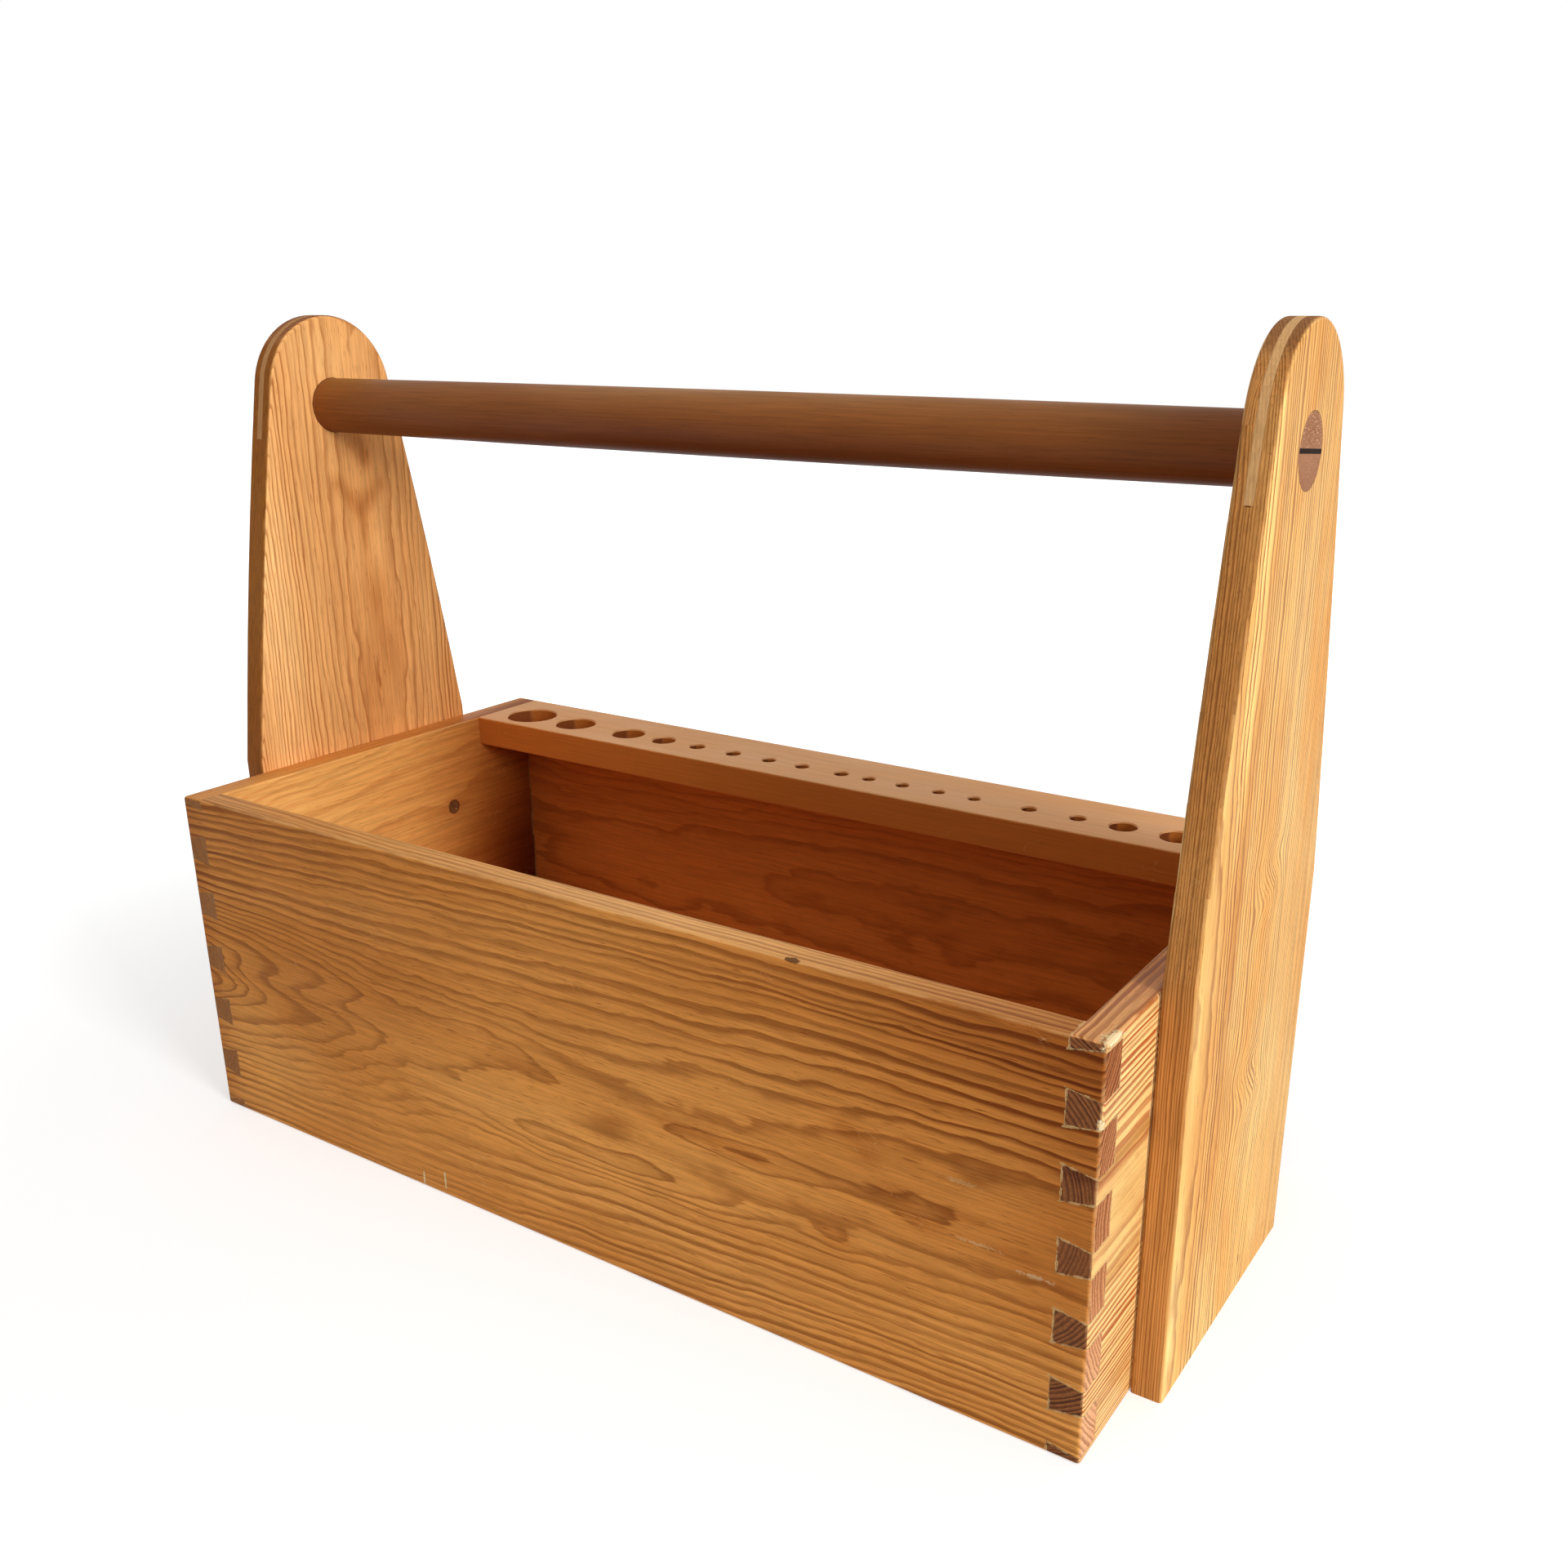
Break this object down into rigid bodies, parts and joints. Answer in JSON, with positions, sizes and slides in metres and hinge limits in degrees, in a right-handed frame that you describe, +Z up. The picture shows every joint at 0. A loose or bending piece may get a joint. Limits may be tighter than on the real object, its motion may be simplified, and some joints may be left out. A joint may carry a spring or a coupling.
{
  "type": "wooden tool tote",
  "caption": "Open wooden tool carrier: a dovetailed box with a drilled tool rack along the back and a round handle wedged through two tapered end uprights.",
  "frame": {"origin": "middle of the footprint, on the plane the tote stands on", "axes": "+X along the handle to the right, the front panel faces -Y, the tool rack is on the +Y side, +Z up"},
  "size_m": [0.632, 0.29, 0.485],
  "materials": {
    "front_panel": "oiled pine, satin, worn",
    "back_panel": "oiled pine, satin, worn",
    "left_end_panel": "oiled pine, satin, worn",
    "right_end_panel": "oiled pine, satin, worn",
    "bottom_panel": "pine board, dull and worn",
    "tool_rack": "close-grained hardwood, satin",
    "rack_dowels": "beech dowel, unfinished",
    "left_upright": "oiled pine, satin, worn",
    "right_upright": "oiled pine, satin, worn",
    "left_upright_feather": "hardwood slip, satin",
    "right_upright_feather": "hardwood slip, satin",
    "right_upright_patch": "oiled pine, satin, worn",
    "handle": "stained hardwood, polished by hand",
    "left_handle_wedge": "dark hardwood",
    "right_handle_wedge": "dark hardwood",
    "left_upright_screws": "tarnished",
    "right_upright_screws": "tarnished"
  },
  "bodies": {
    "root": {"front_panel": "front_panel", "back_panel": "back_panel", "left_end_panel": "left_end_panel", "right_end_panel": "right_end_panel", "bottom_panel": "bottom_panel", "tool_rack": "tool_rack", "rack_dowels": "rack_dowels", "left_upright": "left_upright", "right_upright": "right_upright", "left_upright_feather": "left_upright_feather", "right_upright_feather": "right_upright_feather", "right_upright_patch": "right_upright_patch", "handle": "handle", "left_handle_wedge": "left_handle_wedge", "right_handle_wedge": "right_handle_wedge", "left_upright_screws": "left_upright_screws", "right_upright_screws": "right_upright_screws"}
  },
  "joints": []
}
